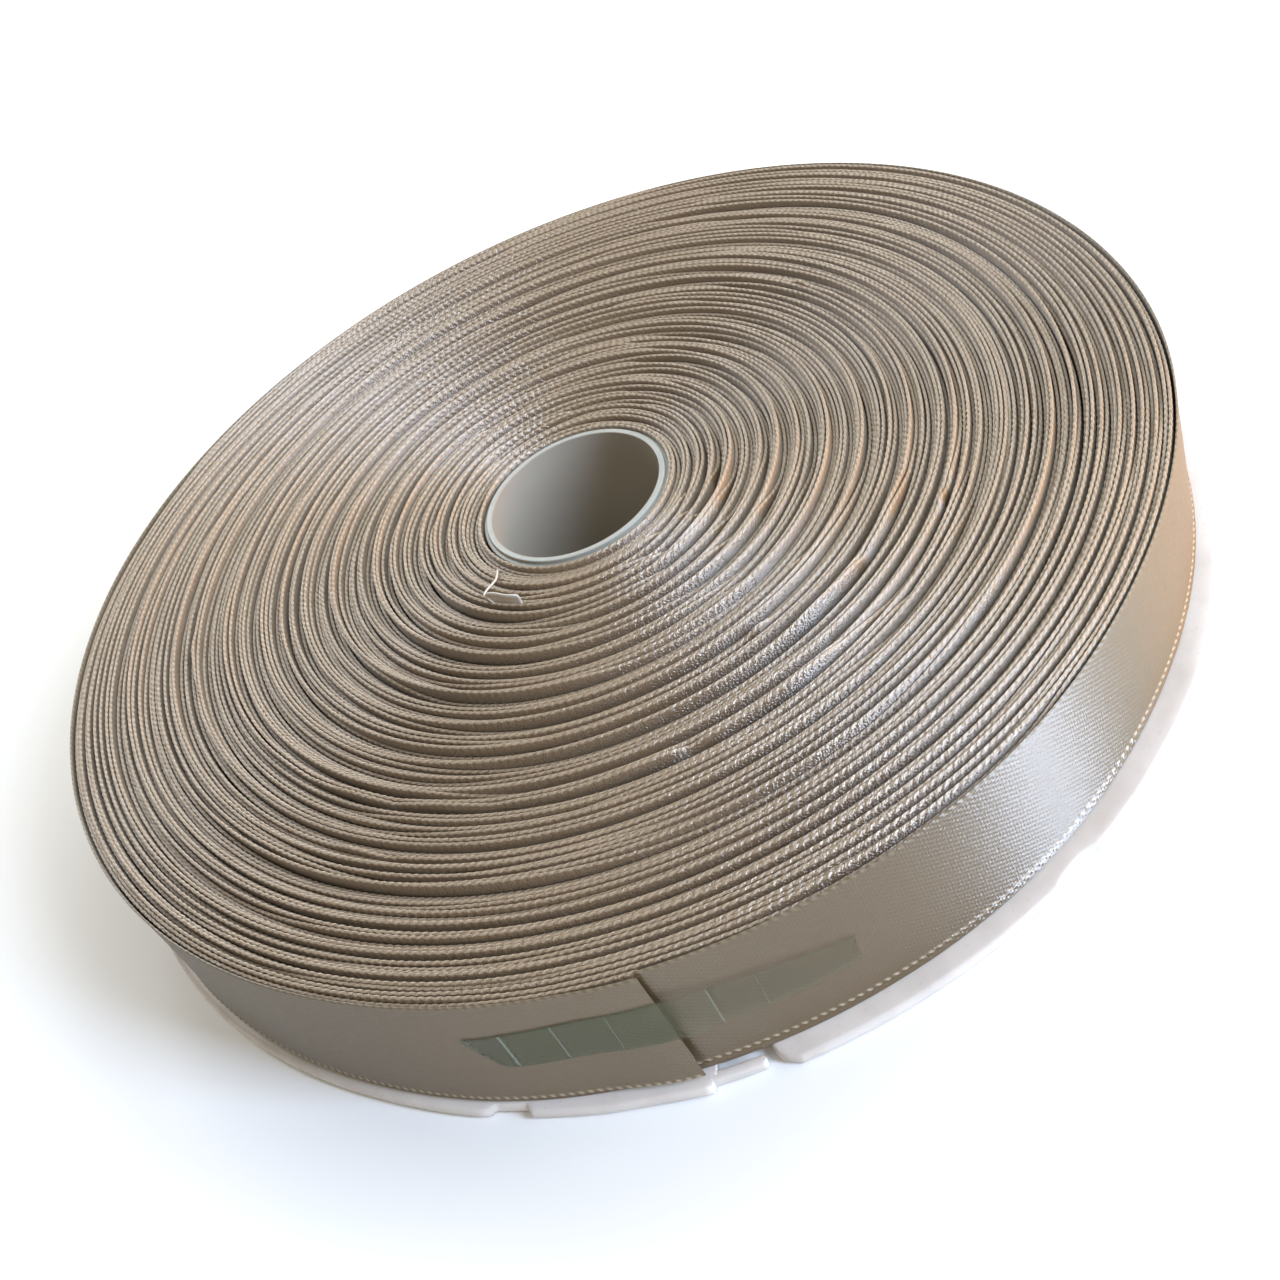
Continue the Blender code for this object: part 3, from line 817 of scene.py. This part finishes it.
def rounded(profile, reach=0.22, steps=3):
    """Round each corner of a closed profile of (radius, height) points."""
    profile = np.array(profile)
    out = []
    for before, corner, after in zip(np.roll(profile, 1, 0), profile, np.roll(profile, -1, 0)):
        start = corner + (before - corner) / np.linalg.norm(before - corner) * reach
        end = corner + (after - corner) / np.linalg.norm(after - corner) * reach
        for t in np.linspace(0.0, 1.0, steps + 1):
            out.append((1 - t) ** 2 * start + 2 * t * (1 - t) * corner + t * t * end)
    return np.array(out)


def build_tube(material):
    """Tube turned from its rounded profile."""
    step_top = TUBE_TOP - LIP_RISE
    profile = rounded([
        (BORE_RADIUS, 0.0), (TUBE_RADIUS, 0.0), (TUBE_RADIUS, step_top - STEP_DEPTH),
        (STEP_RADIUS, step_top - STEP_DEPTH), (STEP_RADIUS, step_top),
        (LIP_RADIUS, step_top), (LIP_RADIUS, TUBE_TOP), (BORE_RADIUS, TUBE_TOP),
    ])
    azimuths = np.arange(TUBE_SEGMENTS) * 360.0 / TUBE_SEGMENTS
    points = np.stack([round_axis(r, azimuths, z) for r, z in profile], 1)
    mesh = skin("tube", points, closed=True)
    add_piece("tube", mesh, material, "tube", "core_tube")


# %% [markdown]
# ## Moulded polystyrene
# High-impact polystyrene comes out of the mould bright white and glossy, a little
# translucent, with faint flow waviness. Handling adds fine rub marks that vary the
# gloss, and dust settles in soft greyer patches.

# %% Polystyrene materials
def make_polystyrene(name, colour, dusty, roughness, wave_depth, inside=None):
    """Moulded polystyrene with faint waviness, dust and rub marks, and painted shade in the bore.
    """
    material, tree = new_material(name)
    place = add_node(tree, "TexCoord")
    wave = add_node(tree, "TexNoise", {
        "Vector": place.outputs["Object"], "Scale": 60.0, "Detail": 2.0})
    bump = add_node(tree, "Bump", {"Height": wave, "Distance": wave_depth, "Strength": 0.6})
    rub = add_node(tree, "TexNoise", {
        "Vector": place.outputs["Object"], "Scale": 900.0, "Detail": 3.0})
    gloss = add_node(tree, "MapRange", {
        "Value": rub, "To Min": roughness - 0.05, "To Max": roughness + 0.08})
    dust = add_node(tree, "TexNoise", {
        "Vector": place.outputs["Object"], "Scale": 140.0, "Detail": 4.0})
    settled = add_node(tree, "MapRange", {"Value": dust, "From Min": 0.45, "From Max": 0.75})
    shade = add_node(tree, "Mix", {
        0: settled, 6: linear(colour), 7: linear(dusty)}, data_type='RGBA')
    # Painted shade: inside the bore the colour is mixed towards a darker, browner one.
    if inside:
        flat = add_node(tree, "VectorMath", {
            0: place.outputs["Object"], 1: (1.0, 1.0, 0.0)}, operation='MULTIPLY')
        reach = add_node(tree, "VectorMath", {0: flat}, operation='LENGTH')
        bore_shade_share = add_node(tree, "MapRange", {
            "Value": reach.outputs["Value"],
            "From Min": (BORE_RADIUS + 0.02) * MM, "From Max": (BORE_RADIUS + 0.25) * MM})
        shade = add_node(tree, "Mix", {
            0: bore_shade_share, 6: linear(inside), 7: shade.outputs[2]}, data_type='RGBA')
    shader = add_node(tree, "BsdfPrincipled", {
        "Base Color": shade.outputs[2],
        "Roughness": gloss,
        "IOR": 1.59,
        "Specular IOR Level": 0.3,
        "Normal": bump,
        "Subsurface Weight": 0.15,
        "Subsurface Scale": 1.0 * MM,
    })
    show(tree, shader)
    return material


# Disc and tongue: bright white, with a soft shine on the round edge.
white_plastic = make_polystyrene("white_polystyrene", "#CDC5BD", "#C0B7AE", 0.28, 0.08 * MM)
build_flange(white_plastic)
build_tongue(white_plastic)
# Tube: greyer and duller, with painted shade in the bore, browner where it only sees itself.
build_tube(make_polystyrene(
    "grey_tube_polystyrene", "#96978F", "#85867D", 0.32, 0.05 * MM, inside="#938B7E"))

# %% [markdown]
# ## The tape
# A short piece of clear office-type tape bridges the cut. Its film is thin enough
# to follow the ribbon, and it stays taut where it spans the step. It was torn off
# on the left, so that end is ragged, and handling left fine upright creases.

# %% Tape
TAPE_FILM = 0.07
TAPE_GAP = 0.14
TAPE_SETTLE = 4.5
Edge = namedtuple("Edge", "azimuth low high")
TAPE_EDGES = [Edge(*row) for row in (
    (243.0, 9.6, 17.0), (246.0, 9.7, 17.8), (252.0, 10.6, 18.9), (258.0, 10.6, 19.2),
    (263.0, 9.4, 17.8), (269.0, 8.9, 16.2), (273.2, 9.4, 14.6),
)]
Crease = namedtuple("Crease", "azimuth width height")
CREASES = [Crease(*row) for row in (
    (245.2, 0.16, 0.16), (249.6, 0.09, 0.10), (254.1, 0.07, 0.07),
    (261.9, 0.08, 0.09), (265.6, 0.07, 0.06),
)]
TEETH = 6
TOOTH_DEPTH = 0.45
TAPE_ROWS = 13
TAPE_STATIONS = 260


def tape_edge(column, azimuth):
    """Height of the tape's lower or upper edge above the flange."""
    stops = [row.azimuth for row in TAPE_EDGES]
    return np.interp(azimuth, stops, [getattr(row, column) for row in TAPE_EDGES])


def tape_radius(azimuth, height):
    """Radius that the film's inner side follows, bridging the step at the cut."""
    reach = FLARE_BOTTOM + (FLARE_TOP - FLARE_BOTTOM) * height / RIBBON_WIDTH
    held = ease(1.0 - (CUT_AZIMUTH - np.minimum(azimuth, CUT_AZIMUTH)) / FLARE_LENGTH)
    settle = 1.0 - ease((azimuth - CUT_AZIMUTH - 0.3) / TAPE_SETTLE)
    lean = foot_lean(azimuth) * (1.0 - height / RIBBON_WIDTH) ** 2
    return wrap_radius(azimuth) + TAPE_GAP + lean + reach * held * settle


def build_tape(material):
    """Thin film with a torn end and raised creases."""
    along = np.linspace(0.0, 1.0, TAPE_STATIONS)[:, None]
    across = np.linspace(0.0, 1.0, TAPE_ROWS)[None, :]
    tooth = np.abs((across * TEETH) % 1.0 - 0.5) * 2.0 * TOOTH_DEPTH
    start = TAPE_EDGES[0].azimuth + 0.7 + tooth - 2.2 * across
    end = TAPE_EDGES[-1].azimuth + 0.25 * np.sin(across * 9.0)
    azimuth = start + (end - start) * along
    low, high = tape_edge("low", azimuth), tape_edge("high", azimuth)
    height = low + (high - low) * across
    radius = tape_radius(azimuth, height)
    for crease in CREASES:
        away = (azimuth - crease.azimuth - 0.15 * np.sin(across * 3.0)) / crease.width
        radius = radius + crease.height * np.exp(-away ** 2)
    outer = round_axis(radius + TAPE_FILM, azimuth, FLANGE_TOP + height)
    inner = round_axis(radius, azimuth, FLANGE_TOP + height)
    points = np.concatenate([outer, inner[:, ::-1]], axis=1)
    place = np.stack([azimuth / 1000.0, height * MM], -1)
    mesh = skin("tape", points, uv=np.concatenate([place, place[:, ::-1]], axis=1))
    add_piece("tape", mesh, material, "tape", "end_tape")


# %% [markdown]
# ## The film tab and its thread
# Near the tube, a small piece of clear film stands up between two turns, and a
# fine white thread runs from the inner turns to it. The tab leans inwards and its
# corners are round.

# %% Film tab and thread
TAB_START, TAB_END = 219.0, 234.5
TAB_FOOT = 26.9
TAB_HEAD = 26.4
TAB_LOW = LOWEST_TOP + 1.4
TAB_TOP = highest_mm("start_tab")[2] - 0.9
TAB_FILM = 0.18
TAB_ROWS = 7
TAB_STATIONS = 24
THREAD_THICKNESS = 0.38
Bend = namedtuple("Bend", "azimuth radius height")
THREAD = [Bend(*row) for row in (
    (208.0, 19.8, 26.6), (212.0, 20.8, 27.3), (214.5, 22.1, 27.5), (215.8, 23.4, 27.9),
    (216.2, 25.0, 28.1), (217.4, 26.2, 28.3), (220.5, 26.8, 28.3), (223.0, 27.0, 27.6),
)]


def build_tab(material):
    """Thin round-cornered film that leans towards the tube."""
    along = np.linspace(-1.0, 1.0, TAB_STATIONS)[:, None]
    across = np.linspace(0.0, 1.0, TAB_ROWS)[None, :]
    reach = 1.0 - 0.10 * across ** 4
    azimuth = (TAB_START + TAB_END) / 2.0 + (TAB_END - TAB_START) / 2.0 * along * reach
    crown = 1.0 - 0.18 * np.abs(along) ** 6
    height = TAB_LOW + (TAB_TOP - TAB_LOW) * across * crown
    radius = TAB_FOOT + (TAB_HEAD - TAB_FOOT) * across + 0.12 * np.sin(along * 4.0) * across
    outer = round_axis(radius + TAB_FILM, azimuth, height)
    inner = round_axis(radius, azimuth, height)
    place = np.stack(np.broadcast_arrays(np.abs(along), across), -1)
    mesh = skin("film_tab", np.concatenate([outer, inner[:, ::-1]], axis=1),
                uv=np.concatenate([place, place[:, ::-1]], axis=1))
    add_piece("film_tab", mesh, material, "film", "start_tab")


def build_thread(material):
    """Fine thread, drawn as a smooth tube."""
    data = bpy.data.curves.new("tab_thread", 'CURVE')
    data.dimensions = '3D'
    data.bevel_depth = THREAD_THICKNESS / 2.0 * MM
    data.bevel_resolution = 3
    data.use_fill_caps = True
    spline = data.splines.new('BEZIER')
    spline.bezier_points.add(len(THREAD) - 1)
    for point, bend in zip(spline.bezier_points, THREAD):
        point.co = round_axis(bend.radius, bend.azimuth, bend.height)
        point.handle_left_type = 'AUTO'
        point.handle_right_type = 'AUTO'
    data.materials.append(material)
    piece = put_in_scene("tab_thread", data)
    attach(piece, "root")


# %% [markdown]
# ## Clear films and thread
# Tape film is glossy and lets the ribbon show through, a little darker and cooler.
# Right of the cut its gum wets the satin, so it nearly vanishes there. Film that was
# stretched turns milky: on the tape's creases and along the tab's torn hem. A film
# this thin needs no refraction, so its alpha alone does it.

# %% Film and thread materials
TAPE_ALPHA = 0.37
TAPE_WETTED_ALPHA = 0.12


def film_place(tree):
    """The film's own coordinates, X along it and Y across it."""
    uv = add_node(tree, "UVMap", uv_map="ribbon")
    return add_node(tree, "SeparateXYZ", {"Vector": uv}).outputs


def crease_mask(tree):
    """One on each of the tape's creases, where stretched film turns milky."""
    turned = film_place(tree)["X"]
    total = None
    for crease in CREASES:
        away = add_node(tree, "Math", {0: turned, 1: crease.azimuth / 1000.0}, operation='SUBTRACT')
        near = add_node(tree, "Math", {0: away}, operation='ABSOLUTE')
        line = add_node(tree, "MapRange", {
            "Value": near, "From Min": crease.width * 1.6 / 1000.0, "From Max": 0.0,
            "To Max": min(1.0, crease.height * 6.0)})
        total = line if total is None else add_node(
            tree, "Math", {0: total, 1: line}, operation='MAXIMUM')
    return total


def wetted_alpha(tree):
    """Alpha of the tape, which its gum makes clearer right of the cut."""
    return add_node(tree, "MapRange", {
        "Value": film_place(tree)["X"], "From Min": (CUT_AZIMUTH - 0.6) / 1000.0,
        "From Max": (CUT_AZIMUTH + 1.2) / 1000.0, "To Min": TAPE_ALPHA,
        "To Max": TAPE_WETTED_ALPHA})


def hem_mask(tree):
    """One along the tab's sides and top, where the film was torn and turned milky."""
    place = film_place(tree)
    side = add_node(tree, "MapRange", {"Value": place["X"], "From Min": 0.86, "From Max": 0.97})
    top = add_node(tree, "MapRange", {"Value": place["Y"], "From Min": 0.75, "From Max": 0.95})
    return add_node(tree, "Math", {0: side, 1: top}, operation='MAXIMUM')


def shade_film(tree, colour, milky_colour, mask, alpha, milky_alpha, roughness):
    """Thin clear film: glossy, see-through and slightly uneven, milky under its mask."""
    place = add_node(tree, "TexCoord")
    ripple = add_node(tree, "TexNoise", {
        "Vector": place.outputs["Object"], "Scale": 350.0, "Detail": 1.0})
    bump = add_node(tree, "Bump", {"Height": ripple, "Distance": 0.05 * MM, "Strength": 0.5})
    tone = add_node(tree, "Mix", {
        0: mask, 6: linear(colour), 7: linear(milky_colour)}, data_type='RGBA')
    cover = add_node(tree, "MapRange", {"Value": mask, "To Min": alpha, "To Max": milky_alpha})
    show(tree, add_node(tree, "BsdfPrincipled", {
        "Base Color": tone.outputs[2],
        "Roughness": roughness,
        "IOR": 1.49,
        "Alpha": cover,
        "Normal": bump,
    }))


def make_spun_thread(name, colour, shadow):
    """Spun polyester thread with its twist as fine bump."""
    material, tree = new_material(name)
    place = add_node(tree, "TexCoord")
    twist = add_node(tree, "TexNoise", {
        "Vector": place.outputs["Object"], "Scale": 5000.0, "Detail": 2.0})
    bump = add_node(tree, "Bump", {"Height": twist, "Distance": 0.05 * MM, "Strength": 0.8})
    tone = add_node(tree, "Mix", {0: twist, 6: linear(shadow), 7: linear(colour)}, data_type='RGBA')
    shader = add_node(tree, "BsdfPrincipled", {
        "Base Color": tone.outputs[2], "Roughness": 0.7, "Normal": bump})
    show(tree, shader)
    return material


# Polypropylene tape: a smooth greenish shade over the satin, with pale crease lines.
tape_film, tape_tree = new_material("clear_tape_film")
shade_film(tape_tree, "#5C5F43", "#98A295", crease_mask(tape_tree), wetted_alpha(tape_tree),
           milky_alpha=0.75, roughness=0.22)
build_tape(tape_film)
# Cloudy film: greyish, half see-through, with a whiter rim.
tab_film, tab_tree = new_material("cloudy_tab_film")
shade_film(tab_tree, "#A79E90", "#CBC5BA", hem_mask(tab_tree), alpha=0.5,
           milky_alpha=0.95, roughness=0.3)
build_tab(tab_film)
# Spun polyester: matt and off-white, with its twist as fine shade.
build_thread(make_spun_thread("white_spun_thread", "#CFC7BB", shadow="#A69D8F"))

# %% [markdown]
# ## Floor and light
# The roll lies on a plain pale floor under eight soft area lights. The turns all run
# round the axis, so each light draws a streak of its own from the tube to the rim.
# A cool strip in front on the right draws the brightest one, which runs on down the
# wall. The window beside it gives the wall its olive shoulder, and a warm card low
# on the right its golden side. Three windows behind lift the right half, the back
# and the left side. The overhead light and a fill card only open the shade.

# %% Floor
floor_material, floor_tree = new_material("matt_pale_floor")
floor_place = add_node(floor_tree, "TexCoord")
floor_grain = add_node(floor_tree, "TexNoise", {
    "Vector": floor_place.outputs["Object"], "Scale": 40.0})
floor_bump = add_node(floor_tree, "Bump", {
    "Height": floor_grain, "Distance": 0.02 * MM, "Strength": 0.2})
floor_shader = add_node(floor_tree, "BsdfPrincipled", {
    "Base Color": linear("#ECEBE8"), "Roughness": 0.9, "Specular IOR Level": 0.2,
    "Normal": floor_bump})
show(floor_tree, floor_shader)
floor_mesh = bpy.data.meshes.new("floor")
FLOOR_HALF = 3.0
FLOOR_HEIGHT = -0.05 * MM
signs = ((-1, -1), (1, -1), (1, 1), (-1, 1))
floor_corners = [(FLOOR_HALF * x, FLOOR_HALF * y, FLOOR_HEIGHT) for x, y in signs]
floor_mesh.from_pydata(floor_corners, [], [(0, 1, 2, 3)])
floor_mesh.materials.append(floor_material)
put_in_scene("floor", floor_mesh)

# %% Lights
Lamp = namedtuple("Lamp", "name azimuth elevation distance width height watts colour")
LAMPS = [
    Lamp("front_right_strip", 317.5, 24.0, 1000.0, 270.0, 800.0, 18.5, "#CDE0FF"),
    Lamp("right_soft_window", 346.0, 28.0, 1000.0, 420.0, 600.0, 2.8, "#F7FFF4"),
    Lamp("right_warm_card", 6.0, 9.0, 900.0, 700.0, 260.0, 3.8, "#FFA838"),
    Lamp("far_right_window", 38.0, 44.0, 1000.0, 600.0, 450.0, 3.6, "#FBFFFF"),
    Lamp("back_window", 82.0, 40.0, 1100.0, 700.0, 500.0, 2.6, "#FAFCFF"),
    Lamp("left_back_window", 112.0, 36.0, 1100.0, 600.0, 500.0, 5.4, "#F4F7FF"),
    Lamp("overhead_soft", 90.0, 88.0, 1100.0, 1200.0, 1200.0, 2.4, "#FFFBF4"),
    Lamp("front_fill_card", 228.0, 40.0, 1000.0, 900.0, 700.0, 1.3, "#FFE6CA"),
]
AIM = Vector((0.0, 0.0, 15.0)) * MM
for lamp in LAMPS:
    data = bpy.data.lights.new(lamp.name, 'AREA')
    data.shape = 'RECTANGLE'
    data.size = lamp.width * MM
    data.size_y = lamp.height * MM
    data.energy = lamp.watts
    data.color = linear(lamp.colour)[:3]
    light = put_in_scene(lamp.name, data)
    a, e = math.radians(lamp.azimuth), math.radians(lamp.elevation)
    way = Vector((math.cos(a) * math.cos(e), math.sin(a) * math.cos(e), math.sin(e)))
    light.location = AIM + way * lamp.distance * MM
    light.rotation_mode = 'QUATERNION'
    light.rotation_quaternion = way.to_track_quat('Z', 'Y')

# %% World
world = bpy.data.worlds.new("studio")
world.use_nodes = True
bpy.context.scene.world = world
background = world.node_tree.nodes["Background"]
background.inputs["Color"].default_value = linear("#F1F3E6")
background.inputs["Strength"].default_value = 0.27
bpy.context.scene.view_settings.view_transform = 'Standard'
